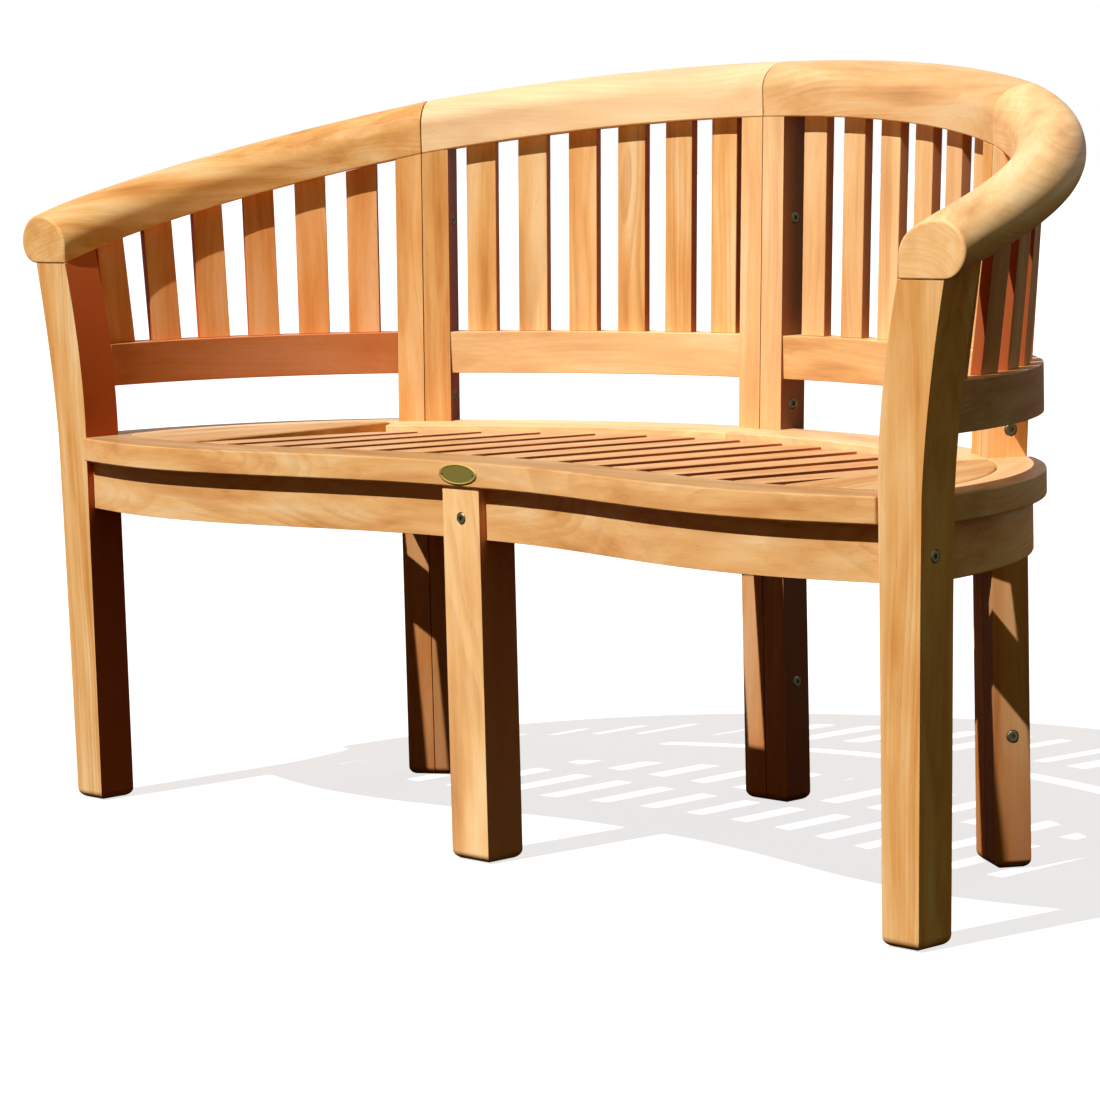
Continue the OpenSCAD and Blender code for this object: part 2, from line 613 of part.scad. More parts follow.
front_post_left();
front_post_right();
middle_leg();
half_post_arm_left();
half_post_back_left_outer();
half_post_back_left_inner();
half_post_back_right_inner();
half_post_back_right_outer();
half_post_arm_right();
top_rail_arm_left();
top_rail_back_left();
top_rail_back_right();
top_rail_arm_right();
lower_rail_arm_left();
lower_rail_back_left();
lower_rail_back_right();
lower_rail_arm_right();
slats_arm_left();
slats_back_left();
slats_back_right();
slats_arm_right();
seat_board_front();
seat_board_side_left();
seat_board_side_right();
seat_board_back_left();
seat_board_back_right();
seat_slat(1);  // seat_slat_01
seat_slat(2);  // seat_slat_02
seat_slat(3);  // seat_slat_03
seat_slat(4);  // seat_slat_04
seat_slat(5);  // seat_slat_05
seat_slat(6);  // seat_slat_06
seat_slat(7);  // seat_slat_07
seat_slat(8);  // seat_slat_08
seat_slat(9);  // seat_slat_09
seat_slat(10);  // seat_slat_10
seat_slat(11);  // seat_slat_11
seat_slat(12);  // seat_slat_12
seat_slat(13);  // seat_slat_13
seat_end_left();
seat_end_right();
apron_front();
apron_side_left();
apron_side_right();
apron_back_left();
apron_back_right();
bearer_front();
bearer_middle();
bearer_back_left();
bearer_back_right();
post_bolts();
post_nuts();
seat_bolts();
trade_plate();
plate_pins();
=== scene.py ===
# %% [markdown]
# # A curved teak garden bench
# The bench is solid teak: a ring of boards on posts, a slatted seat, and a back whose top rail
# wraps round into both arms. The imported model gives every piece its place, so this script is
# about looks: softened edges, wood that looks sawn from a log, a smoothly carved top rail, bolts,
# a small plate and light. Everything is in metres, with +Z up and the sitter facing -Y.

# %% Load the bench
import bmesh
import bpy
import numpy as np
from mathutils import Matrix


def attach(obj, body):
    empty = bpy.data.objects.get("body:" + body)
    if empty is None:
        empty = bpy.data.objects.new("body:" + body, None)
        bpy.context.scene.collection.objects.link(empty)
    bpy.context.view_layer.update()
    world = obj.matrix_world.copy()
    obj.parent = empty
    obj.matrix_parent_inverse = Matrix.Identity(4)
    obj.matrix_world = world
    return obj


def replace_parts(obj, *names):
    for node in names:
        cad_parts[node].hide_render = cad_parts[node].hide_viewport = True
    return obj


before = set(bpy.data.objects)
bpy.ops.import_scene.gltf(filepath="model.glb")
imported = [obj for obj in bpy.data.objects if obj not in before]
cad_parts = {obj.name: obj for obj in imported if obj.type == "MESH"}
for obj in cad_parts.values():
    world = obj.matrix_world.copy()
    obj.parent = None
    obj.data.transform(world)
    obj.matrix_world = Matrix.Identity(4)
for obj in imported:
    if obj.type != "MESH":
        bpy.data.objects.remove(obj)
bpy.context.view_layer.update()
print("pieces in the frame:", len(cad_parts))

# %% [markdown]
# ## Camera
# The photograph is taken from the right of the bench's middle, a little above arm height, with a
# long lens. A view could be set by eye, but then no edge would lie where it does there. So the
# camera's place and turn were measured from the photograph's straight edges. The small shift is
# what its cropping needs.

# %% Camera
IMAGE_PX = 1100
FOCAL_PX = 3831
CENTRE_PX = (537.4, 548.9)
SENSOR_MM = 36
camera_place = np.array([3.0534, -2.9967, 0.8104])
camera_azimuth, camera_drop, camera_roll = np.radians([46.85, 6.52, -1.47])

look = np.array([-np.sin(camera_azimuth) * np.cos(camera_drop),
                 np.cos(camera_azimuth) * np.cos(camera_drop),
                 -np.sin(camera_drop)])
level_right = np.array([np.cos(camera_azimuth), np.sin(camera_azimuth), 0.0])
level_up = np.cross(level_right, look)
right = np.cos(camera_roll) * level_right + np.sin(camera_roll) * level_up
up = np.cross(right, look)
camera = bpy.data.objects.new("camera", bpy.data.cameras.new("camera"))
camera.data.sensor_width = SENSOR_MM
camera.data.lens = FOCAL_PX / IMAGE_PX * SENSOR_MM
camera.data.shift_x = (IMAGE_PX / 2 - CENTRE_PX[0]) / IMAGE_PX
camera.data.shift_y = (CENTRE_PX[1] - IMAGE_PX / 2) / IMAGE_PX
turned = np.eye(4)
turned[:3, 0], turned[:3, 1], turned[:3, 2], turned[:3, 3] = right, up, -look, camera_place
camera.matrix_world = Matrix(turned.tolist())
bpy.context.scene.collection.objects.link(camera)
bpy.context.scene.camera = camera
print("lens in mm:", round(camera.data.lens, 1))

# %% [markdown]
# ## Node and colour helpers
# Colours are written as sRGB hex values, the way a paint chart gives them, and one function turns
# them to the linear values that the renderer adds up. Another adds any node with its settings and
# links, and the last starts a material, so a material reads as a list of steps.

# %% Colour and node helpers
SRGB_KNEE, SRGB_SLOPE, SRGB_SHIFT, SRGB_POWER = 0.04045, 12.92, 0.055, 2.4


def hex_colour(code):
    """Turns an sRGB hex value into linear red, green and blue, with full opacity. A channel up to
    the knee is divided by the slope. A higher one is shifted, scaled and raised to the power."""
    srgb = np.array([int(code[i:i + 2], 16) for i in (1, 3, 5)]) / 255
    curved = ((srgb + SRGB_SHIFT) / (1 + SRGB_SHIFT)) ** SRGB_POWER
    linear = np.where(srgb <= SRGB_KNEE, srgb / SRGB_SLOPE, curved)
    return (*linear.tolist(), 1.0)


def add(tree, kind, inputs=None, **settings):
    """Adds one node: settings are its own properties, inputs are values or sockets to link."""
    node = tree.nodes.new(kind)
    for name, value in settings.items():
        setattr(node, name, value)
    for name, value in (inputs or {}).items():
        if isinstance(value, bpy.types.NodeSocket):
            tree.links.new(value, node.inputs[name])
        else:
            node.inputs[name].default_value = value
    return node


def new_material(name):
    """Starts a material with an empty node tree and its output."""
    material = bpy.data.materials.new(name)
    material.use_nodes = True
    material.node_tree.nodes.clear()
    return material, material.node_tree, material.node_tree.nodes.new("ShaderNodeOutputMaterial")


# %% [markdown]
# ## Light, floor and background
# The bench stands in high sun that comes from the front and a little from the left, against
# plain white. The lit strips on the rear legs give its direction: they fall through the gaps
# between the seat slats. The shade is deep: red-brown inside the bench and olive on its right.
# So the sky is weak and coloured, orange from most sides and olive from the right. Behind the
# bench it is brighter, which the photograph can't show, so that the back can be seen too. The
# floor is white to the camera and keeps the bench's shadow, but throws little light back at it.

# %% Sun
SUN_HEIGHT = np.radians(56)
SUN_SIDE = np.radians(5)
SUN_SIZE = np.radians(0.6)
SUN_POWER = 5.0
to_sun = np.array([-np.sin(SUN_SIDE) * np.cos(SUN_HEIGHT),
                   -np.cos(SUN_SIDE) * np.cos(SUN_HEIGHT),
                   np.sin(SUN_HEIGHT)])
sun = bpy.data.objects.new("sun", bpy.data.lights.new("sun", "SUN"))
sun.data.energy = SUN_POWER
sun.data.angle = SUN_SIZE
sun.data.color = hex_colour("#fffaf2")[:3]
side = np.cross([0, 0, 1], to_sun)
side /= np.linalg.norm(side)
sun_turn = np.eye(4)
sun_turn[:3, 0], sun_turn[:3, 1], sun_turn[:3, 2] = side, np.cross(to_sun, side), to_sun
sun.matrix_world = Matrix(sun_turn.tolist())
bpy.context.scene.collection.objects.link(sun)
print("sun direction:", np.round(to_sun, 2))

# %% Sky
FILL = 0.13
BACK_FILL = 0.6
OLIVE_FROM, OLIVE_TO = -0.15, 0.25
BACK_FROM, BACK_TO = 0.5, 0.95
world = bpy.data.worlds.new("sky")
bpy.context.scene.world = world
world.use_nodes = True
sky = world.node_tree
sky.nodes.clear()
ray = add(sky, "ShaderNodeLightPath")
seen = add(sky, "ShaderNodeMath", {0: ray.outputs["Is Camera Ray"], 1: ray.outputs["Is Glossy Ray"]},
           operation="MAXIMUM")
seen = add(sky, "ShaderNodeMath", {0: seen.outputs[0], 1: ray.outputs["Is Transmission Ray"]},
           operation="MAXIMUM")
toward = add(sky, "ShaderNodeTexCoord")
toward = add(sky, "ShaderNodeSeparateXYZ", {"Vector": toward.outputs["Generated"]})
to_right = add(sky, "ShaderNodeMapRange", {"Value": toward.outputs["X"], "From Min": OLIVE_FROM,
                                           "From Max": OLIVE_TO})
hue = add(sky, "ShaderNodeMix", {"Factor": to_right.outputs[0], 6: hex_colour("#ff6c1c"),
                                 7: hex_colour("#cccf65")}, data_type="RGBA")
to_back = add(sky, "ShaderNodeMapRange", {"Value": toward.outputs["Y"], "From Min": BACK_FROM,
                                          "From Max": BACK_TO})
hue = add(sky, "ShaderNodeMix", {"Factor": to_back.outputs[0], 6: hue.outputs[2],
                                 7: hex_colour("#fff0dc")}, data_type="RGBA")
strength = add(sky, "ShaderNodeMapRange", {"Value": to_back.outputs[0], "To Min": FILL,
                                           "To Max": BACK_FILL})
fill = add(sky, "ShaderNodeBackground", {"Color": hue.outputs[2], "Strength": strength.outputs[0]})
white = add(sky, "ShaderNodeBackground", {"Color": hex_colour("#ffffff"), "Strength": 1.0})
both = add(sky, "ShaderNodeMixShader", {0: seen.outputs[0], 1: fill.outputs[0], 2: white.outputs[0]})
add(sky, "ShaderNodeOutputWorld", {"Surface": both.outputs[0]})
print("sky strength:", FILL, "and behind the bench:", BACK_FILL)

# %% Floor
FLOOR_HALF = 30.0
FLOOR_DROP = 0.0004
FLOOR_GLOW = 0.78
floor_mesh = bpy.data.meshes.new("floor")
floor_mesh.from_pydata([(x * FLOOR_HALF, y * FLOOR_HALF, -FLOOR_DROP)
                        for x, y in ((-1, -1), (1, -1), (1, 1), (-1, 1))], [], [(0, 1, 2, 3)])
floor = bpy.data.objects.new("floor", floor_mesh)
bpy.context.scene.collection.objects.link(floor)
floor_look, tree, out = new_material("white floor")
ray = add(tree, "ShaderNodeLightPath")
dull = add(tree, "ShaderNodeBsdfDiffuse", {"Color": hex_colour("#a4a4a8")})
glow = add(tree, "ShaderNodeEmission", {"Color": hex_colour("#ffffff"), "Strength": FLOOR_GLOW})
shown = add(tree, "ShaderNodeAddShader", {0: dull.outputs[0], 1: glow.outputs[0]})
ground = add(tree, "ShaderNodeBsdfDiffuse", {"Color": hex_colour("#2a1a0c")})
pick = add(tree, "ShaderNodeMixShader", {0: ray.outputs["Is Camera Ray"], 1: ground.outputs[0],
                                         2: shown.outputs[0]})
tree.links.new(pick.outputs[0], out.inputs["Surface"])
floor_mesh.materials.append(floor_look)
print("floor below the feet by mm:", FLOOR_DROP * 1000)

# %% [markdown]
# ## Teak
# The bench is plantation teak, sawn, sanded and lightly oiled: honey coloured and smooth, with
# soft lighter and darker patches, faint growth lines and fine short pores. A flat picture of wood
# would not run round a corner. So the pattern is solid: growth rings are cylinders round the
# log's centre, and each piece reads them in its own log's coordinates, carried by an attribute. A
# side then shows long lines and arches, and an end shows arcs, as when it is sawn from a log.

# %% Teak: the bent log
LOG_BEND = 0.06
# waves a metre along the log, and both ways across it
BEND_WAVES = (1.9, 8.0, 8.0)
teak, tree, out = new_material("sanded oiled teak")
log = add(tree, "ShaderNodeAttribute", attribute_name="log")
tone = add(tree, "ShaderNodeAttribute", attribute_name="tone")
end = add(tree, "ShaderNodeAttribute", attribute_name="end")

# the log bends slowly along its length, so that rings run out of a face in arches
slow = add(tree, "ShaderNodeMapping", {"Vector": log.outputs["Vector"], "Scale": BEND_WAVES})
bend = add(tree, "ShaderNodeTexNoise", {"Vector": slow.outputs[0], "Scale": 1.0, "Detail": 2.0,
                                        "Roughness": 0.4})
pushed = add(tree, "ShaderNodeVectorMath", {0: bend.outputs["Color"], 1: (0.5, 0.5, 0.5)},
             operation="SUBTRACT")
pushed = add(tree, "ShaderNodeVectorMath", {0: pushed.outputs[0], 1: (0.0, LOG_BEND, LOG_BEND)},
             operation="MULTIPLY")
bent = add(tree, "ShaderNodeVectorMath", {0: log.outputs["Vector"], 1: pushed.outputs[0]},
           operation="ADD")
round_log = add(tree, "ShaderNodeVectorMath", {0: bent.outputs[0], 1: (0.0, 1.0, 1.0)},
                operation="MULTIPLY")
radius = add(tree, "ShaderNodeVectorMath", {0: round_log.outputs[0]}, operation="LENGTH")
print("the log bends sideways by mm, at most:", LOG_BEND / 2 * 1000)

# %% Teak: its growth rings
RING_MM = 6.5
SPELL_MM = 11.111
RING_UNEVEN = 1.6
RING_RISE_FROM, RING_RISE_TO, RING_FALL = 0.30, 0.90, 0.92
RINGS_FAINT, RINGS_CLEAR, END_RINGS = 0.03, 0.36, 0.26
PATCH_WAVES = (3.2, 22.0, 22.0)
# one ring every few millimetres: a slow rise, then a quick fall. Wide and narrow ones come in spells
years = add(tree, "ShaderNodeTexNoise", {"W": radius.outputs["Value"], "Scale": 1000 / SPELL_MM,
                                         "Detail": 1.0}, noise_dimensions="1D")
uneven = add(tree, "ShaderNodeMath", {0: radius.outputs["Value"], 1: 1000 / RING_MM},
             operation="MULTIPLY")
uneven = add(tree, "ShaderNodeMath", {0: years.outputs["Fac"], 1: RING_UNEVEN, 2: uneven.outputs[0]},
             operation="MULTIPLY_ADD")
phase = add(tree, "ShaderNodeMath", {0: uneven.outputs[0]}, operation="FRACT")
late = add(tree, "ShaderNodeMapRange", {"Value": phase.outputs[0], "From Min": RING_RISE_FROM,
                                        "From Max": RING_RISE_TO}, interpolation_type="SMOOTHSTEP")
fall = add(tree, "ShaderNodeMapRange", {"Value": phase.outputs[0], "From Min": 1.0,
                                        "From Max": RING_FALL})
late = add(tree, "ShaderNodeMath", {0: late.outputs[0], 1: fall.outputs[0]}, operation="MULTIPLY")

# rings show well in some places and hardly at all in others
patch = add(tree, "ShaderNodeMapping", {"Vector": bent.outputs[0], "Scale": PATCH_WAVES})
patch = add(tree, "ShaderNodeTexNoise", {"Vector": patch.outputs[0], "Scale": 1.0, "Detail": 2.0})
strong = add(tree, "ShaderNodeMapRange", {"Value": patch.outputs["Fac"], "From Min": 0.42,
                                          "From Max": 0.72, "To Min": RINGS_FAINT,
                                          "To Max": RINGS_CLEAR})
ring_share = add(tree, "ShaderNodeMath", {0: late.outputs[0], 1: strong.outputs[0]},
                 operation="MULTIPLY")
end_rings = add(tree, "ShaderNodeMath", {0: late.outputs[0], 1: END_RINGS}, operation="MULTIPLY")
ring_share = add(tree, "ShaderNodeMix", {"Factor": end.outputs["Fac"], 2: ring_share.outputs[0],
                                         3: end_rings.outputs[0]}, data_type="FLOAT")
print("growth rings every mm:", RING_MM)

# %% Teak: its clouds, streaks, fine lines and pores
CLOUD_MM = 40
STREAK_MM = 20
LINE_MM = 2.6
PORE_MM = 1.3
# each noise's waves a metre along the grain, its width across the grain, its detail and roughness
FIGURE = {"cloud": (5.0, CLOUD_MM, 3.0, 0.5), "streak": (2.2, STREAK_MM, 3.0, 0.55),
          "line": (7.0, LINE_MM, 2.0, 0.6), "pore": (45.0, PORE_MM, 1.0, 0.5)}
figure = {}
for name, (along, width_mm, detail, roughness) in FIGURE.items():
    waves = add(tree, "ShaderNodeMapping", {"Vector": bent.outputs[0],
                                            "Scale": (along, 1000 / width_mm, 1000 / width_mm)})
    noise = add(tree, "ShaderNodeTexNoise", {"Vector": waves.outputs[0], "Scale": 1.0,
                                             "Detail": detail, "Roughness": roughness})
    figure[name] = noise.outputs["Fac"]
print("the teak's figure:", ", ".join(figure))

# %% Teak: its colour in layers
STREAK_SHARE, LINE_SHARE, PORE_SHARE, END_SHARE = 0.45, 0.09, 0.22, 0.35
PORE_FROM, PORE_TO = 0.60, 0.78
mixed = add(tree, "ShaderNodeMix", {"Factor": STREAK_SHARE, 2: figure["cloud"], 3: figure["streak"]},
            data_type="FLOAT")
mixed = add(tree, "ShaderNodeMix", {"Factor": LINE_SHARE, 2: mixed.outputs[0], 3: figure["line"]},
            data_type="FLOAT")
body = add(tree, "ShaderNodeValToRGB", {"Fac": mixed.outputs[0]})
body_stops = [(0.33, "#c78540"), (0.43, "#e3a861"), (0.52, "#f1bf7c"), (0.63, "#f9d6a1")]
while len(body.color_ramp.elements) < len(body_stops):
    body.color_ramp.elements.new(0.5)
for element, (place, code) in zip(body.color_ramp.elements, body_stops):
    element.position = place
    element.color = hex_colour(code)

# pores: short dark dashes along the grain, drawn about three times as wide as real ones
pore = add(tree, "ShaderNodeMapRange", {"Value": figure["pore"], "From Min": PORE_FROM,
                                        "From Max": PORE_TO})

# over the body lie rings, pores, the piece's redness and paleness, and the end grain, and at
# last its brightness. The redness and brightness also carry painted shade, painted reddish bounce
# light and painted light from the tone attribute.
tone_and_painted_light = add(tree, "ShaderNodeSeparateXYZ", {"Vector": tone.outputs["Vector"]})
pore_share = add(tree, "ShaderNodeMath", {0: pore.outputs[0], 1: PORE_SHARE}, operation="MULTIPLY")
end_share = add(tree, "ShaderNodeMath", {0: end.outputs["Fac"], 1: END_SHARE}, operation="MULTIPLY")
layers = [(ring_share.outputs[0], "#ae6d32"), (pore_share.outputs[0], "#a8672f"),
          (tone_and_painted_light.outputs["Y"], "#c9622a"), (tone_and_painted_light.outputs["Z"], "#fff0cf"),
          (end_share.outputs[0], "#eebc76")]
colour = body.outputs["Color"]
for share, code in layers:
    layer = add(tree, "ShaderNodeMix", {"Factor": share, 6: colour, 7: hex_colour(code)},
                data_type="RGBA")
    colour = layer.outputs[2]
toned = add(tree, "ShaderNodeVectorMath", {0: colour, "Scale": tone_and_painted_light.outputs["X"]}, operation="SCALE")
print("body colours:", [code for place, code in body_stops])

# %% Teak: the oiled surface
OIL_DULL, OIL_BRIGHT, PORE_DULL = 0.56, 0.46, 0.18
PORE_DEPTH, GRAIN_DEPTH, GRAIN_STRENGTH = 0.6, 0.0004, 0.08
OIL_SPECULAR = 0.16
# the oil leaves a satin surface, duller in the pores and in the dark patches
shine = add(tree, "ShaderNodeMapRange", {"Value": figure["streak"], "From Min": 0.3, "From Max": 0.7,
                                         "To Min": OIL_DULL, "To Max": OIL_BRIGHT})
rough = add(tree, "ShaderNodeMath", {0: pore.outputs[0], 1: PORE_DULL, 2: shine.outputs[0]},
            operation="MULTIPLY_ADD")
rise = add(tree, "ShaderNodeMath", {0: pore.outputs[0], 1: -PORE_DEPTH, 2: figure["line"]},
           operation="MULTIPLY_ADD")
bump = add(tree, "ShaderNodeBump", {"Height": rise.outputs[0], "Strength": GRAIN_STRENGTH,
                                    "Distance": GRAIN_DEPTH})
wood = add(tree, "ShaderNodeBsdfPrincipled", {"Base Color": toned.outputs[0],
                                              "Roughness": rough.outputs[0],
                                              "Normal": bump.outputs[0],
                                              "Specular IOR Level": OIL_SPECULAR})
tree.links.new(wood.outputs[0], out.inputs["Surface"])
print("nodes in the teak:", len(tree.nodes))

# %% [markdown]
# ## Turning a shape into a piece of wood
# Every wooden piece but the top rail goes through the same three steps. Its edges are softened,
# because sanded timber has no knife edge. Each loose board gets its log, which is an axis along
# the board and a centre some way off, so that no two boards show the same lines, and its tone.
# Then its normals are weighted by area, so that the flats stay flat and only the narrow eased
# strip curves.

# %% Helpers that read a mesh
MERGE = 0.00002
TINY = 1e-12
generator = np.random.default_rng(7)


def mesh_points(mesh):
    """The vertices of a mesh as rows of x, y, z."""
    flat = np.empty(len(mesh.vertices) * 3, np.float32)
    mesh.vertices.foreach_get("co", flat)
    return flat.reshape(-1, 3).astype(float)


def area_normals(mesh):
    """Each vertex's normal is the sum of its faces' normals, each times the face's area."""
    count = len(mesh.polygons)
    normal = np.empty(count * 3, np.float32)
    area = np.empty(count, np.float32)
    sides = np.empty(count, np.int32)
    corner = np.empty(len(mesh.loops), np.int32)
    mesh.polygons.foreach_get("normal", normal)
    mesh.polygons.foreach_get("area", area)
    mesh.polygons.foreach_get("loop_total", sides)
    mesh.loops.foreach_get("vertex_index", corner)
    weighted = np.repeat(normal.reshape(-1, 3) * area[:, None], sides, axis=0)
    total = np.zeros((len(mesh.vertices), 3))
    np.add.at(total, corner, weighted)
    return total / np.maximum(np.linalg.norm(total, axis=1, keepdims=True), TINY)


def board_numbers(mesh):
    """Numbers the loose boards in a mesh: each vertex takes the lowest number it is joined to."""
    edges = np.empty(len(mesh.edges) * 2, np.int32)
    mesh.edges.foreach_get("vertices", edges)
    edges = edges.reshape(-1, 2)
    number = np.arange(len(mesh.vertices))
    while True:
        low = np.minimum(number[edges[:, 0]], number[edges[:, 1]])
        fresh = number.copy()
        np.minimum.at(fresh, edges[:, 0], low)
        np.minimum.at(fresh, edges[:, 1], low)
        fresh = fresh[fresh]
        if np.array_equal(fresh, number):
            return np.unique(number, return_inverse=True)[1]
        number = fresh


def log_axes(points):
    """The board's own axes: along its greatest spread, then across, then through."""
    spread = np.linalg.eigh(np.cov((points - points.mean(0)).T))[1][:, ::-1]
    return spread if np.linalg.det(spread) > 0 else spread * [1, 1, -1]


print("points that merge are closer than mm:", MERGE * 1000)

# %% Helpers that dress a piece
LOG_REACH = 3.0
LOG_AWAY = (0.035, 0.11)
LIGHT_SPREAD = (0.95, 1.04)
RED_SPREAD = (0.0, 0.12)
PALE_SPREAD = (0.8, 1.2)
END_FROM, END_BLEND = 0.80, 0.12


def store(mesh, name, kind, values):
    """Writes one value or vector for each vertex as a named attribute."""
    field = mesh.attributes.new(name, kind, "POINT")
    field.data.foreach_set("vector" if kind == "FLOAT_VECTOR" else "value",
                           np.ascontiguousarray(values, np.float32).ravel())


def finish_wood(piece, log_place, tones, ends):
    """Stores the wood's attributes and weighted normals, and rides the piece on the bench."""
    mesh = piece.data
    normals = area_normals(mesh)
    mesh.polygons.foreach_set("use_smooth", np.ones(len(mesh.polygons), bool))
    mesh.normals_split_custom_set_from_vertices(normals.tolist())
    store(mesh, "log", "FLOAT_VECTOR", log_place)
    store(mesh, "tone", "FLOAT_VECTOR", tones)
    store(mesh, "end", "FLOAT", ends)
    mesh.materials.clear()
    mesh.materials.append(teak)
    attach(piece, "root")


def dress(piece, light=1.0, redness=0.0, pale=0.0, top=0.0, flanks=(0.0, 0.0), flank_axis=None,
          foot=(0.0, 0.0, 0.0)):
    """Gives each loose board of a piece its own log and tone. Its upper side is darker by the
    share top: painted shade that holds back the high sun, on some boards also wear. Its flanks are
    darker and redder by the two shares of flanks: they are the narrow sides of a slat, or the sides
    that face along flank_axis. That is partly their own colour and partly painted shade and painted
    reddish bounce light, and a negative darkness paints light on them. Its lower end is darker,
    redder and less pale by the three shares of foot, which fade upwards with the square of the height."""
    points = mesh_points(piece.data)
    normals = area_normals(piece.data)
    number = board_numbers(piece.data)
    log_place = np.zeros_like(points)
    tones = np.zeros_like(points)
    ends = np.zeros(len(points))
    for board in range(number.max() + 1):
        mine = number == board
        axes = log_axes(points[mine])
        local = (points[mine] - points[mine].mean(0)) @ axes
        angle = generator.uniform(0, 2 * np.pi)
        distance = generator.uniform(*LOG_AWAY)
        log_place[mine] = local + [generator.uniform(-LOG_REACH, LOG_REACH),
                                   distance * np.cos(angle), distance * np.sin(angle)]
        tones[mine] = [light * generator.uniform(*LIGHT_SPREAD),
                       redness + generator.uniform(*RED_SPREAD),
                       pale * generator.uniform(*PALE_SPREAD)]
        tones[mine, 0] *= 1 - top * np.clip(normals[mine, 2], 0, 1)
        sideways = (normals[mine] @ (axes[:, 1] if flank_axis is None else flank_axis)) ** 2
        tones[mine, 0] *= 1 - flanks[0] * sideways
        tones[mine, 1] += flanks[1] * sideways
        depth = (1 - (points[mine, 2] - points[mine, 2].min()) / np.ptp(points[mine, 2])) ** 2
        tones[mine, 0] *= 1 - foot[0] * depth
        tones[mine, 1] += foot[1] * depth
        tones[mine, 2] *= 1 - foot[2] * depth
        ends[mine] = np.clip((np.abs(normals[mine] @ axes[:, 0]) - END_FROM) / END_BLEND, 0, 1)
    finish_wood(piece, log_place, tones, ends)


print("boards of a piece differ in light by:", LIGHT_SPREAD)

# %% A helper that copies a piece of the frame
FLAT_ANGLE = np.radians(0.5)
EDGE_ANGLE = np.radians(35)
EASE_SEGMENTS = 2


def eased_copy(node, ease, shift=None, **tone):
    """Copies a node's mesh, joins its triangles into flat faces, moves its points by the shift,
    softens its edges by the width ease and dresses it in the given tone."""
    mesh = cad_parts[node].data.copy()
    shape = bmesh.new()
    shape.from_mesh(mesh)
    bmesh.ops.remove_doubles(shape, verts=shape.verts, dist=MERGE)
    bmesh.ops.dissolve_limit(shape, angle_limit=FLAT_ANGLE, verts=shape.verts, edges=shape.edges)
    shape.to_mesh(mesh)
    shape.free()
    if shift:
        mesh.vertices.foreach_set("co", shift(mesh_points(mesh)).astype(np.float32).ravel())
        mesh.update()
    piece = bpy.data.objects.new(node + "_eased", mesh)
    bpy.context.scene.collection.objects.link(piece)
    if piece.data.has_custom_normals:
        piece.data.attributes.remove(piece.data.attributes["custom_normal"])
    soften = piece.modifiers.new("eased edges", "BEVEL")
    soften.width = ease
    soften.segments = EASE_SEGMENTS
    soften.limit_method = "ANGLE"
    soften.angle_limit = EDGE_ANGLE
    soften.use_clamp_overlap = True
    ready = piece.evaluated_get(bpy.context.evaluated_depsgraph_get())
    finished = bpy.data.meshes.new_from_object(ready)
    piece.modifiers.remove(soften)
    piece.data = finished
    piece.data.name = node + "_eased"
    dress(piece, **tone)
    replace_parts(piece, node)


print("segments in an eased edge:", EASE_SEGMENTS)

# %% [markdown]
# ## Posts, rails and boards
# These pieces already have their true shape in the frame, so a merged copy of each with softened
# edges is enough. Posts and the seat's ring are handled most and get the widest softening; the
# slats are machined and stay crisp. Each group has its own tone, because the boards come from
# different trees: the posts are golden, the seat slats darker and pinker. A few pieces in shade
# are darker and redder as painted shade. The narrow sides of posts and slats are redder: partly
# their own colour, partly painted shade and painted reddish bounce light, and on some sunlit or
# outward sides painted light. Upper sides are darker: painted shade that holds back the high
# sun, on the seat's front and ends also wear. The rear legs turn darker towards the ground, so a
# tone also changes with a side's direction and with height.

# %% The curve of the back and arms
BACK_R, ARM_R, ARM_STRAIGHT = 0.8262, 0.4036, 0.0318
CORNER = np.radians(32.23)
BACK_Y = 0.2235
RAIL_PAST = 0.001
S_CORNER = BACK_R * CORNER
S_ARC = S_CORNER + ARM_R * (np.pi / 2 - CORNER)
S_END = S_ARC + ARM_STRAIGHT + RAIL_PAST
ARM_X = (BACK_R - ARM_R) * np.sin(CORNER)
ARM_Y = BACK_Y - BACK_R + (BACK_R - ARM_R) * np.cos(CORNER)


def along_curve(s, offset, height):
    """A point at arc length s and an offset outwards: two arcs that touch, then straight on. Its
    direction turns by the length along an arc over that arc's radius."""
    on_back = s <= S_CORNER
    turn = np.where(on_back, s / BACK_R, np.minimum(np.pi / 2, CORNER + (s - S_CORNER) / ARM_R))
    radius = np.where(on_back, BACK_R, ARM_R) + offset
    x = np.where(on_back, 0.0, ARM_X) + radius * np.sin(turn)
    y = np.where(on_back, BACK_Y - BACK_R, ARM_Y) + radius * np.cos(turn) - np.maximum(0, s - S_ARC)
    return np.stack([x, y, height + 0 * x], -1)


print("half the curve's length in mm:", round(S_END * 1000))

# %% The seams of the rear posts
SEAM = 0.0005
SEAM_FIND = 5 * MERGE


def seam_near(x):
    """A point on the seam between the half posts near x, and the curve's direction there. The
    seams are at the back's middle and at its two corners."""
    angle = CORNER * np.sign(x) * (abs(x) > BACK_R * np.sin(CORNER) / 2)
    on_curve = np.array([BACK_R * np.sin(angle), BACK_Y - BACK_R + BACK_R * np.cos(angle), 0.0])
    return on_curve, np.array([np.cos(angle), -np.sin(angle), 0.0])


def from_seam(points):
    """Moves a half post's mating face back by the seam, along the curve's direction there."""
    on_curve, tangent = seam_near(points[:, 0].mean())
    along = (points - on_curve) @ tangent
    mating = np.abs(along) < SEAM_FIND
    return points + np.outer(mating * np.sign(along.mean()) * SEAM, tangent)


print("seam between half posts in mm:", 2 * SEAM * 1000)

# %% Posts and legs
POST_EASE = 0.0018
ALONG_BENCH = (1.0, 0.0, 0.0)
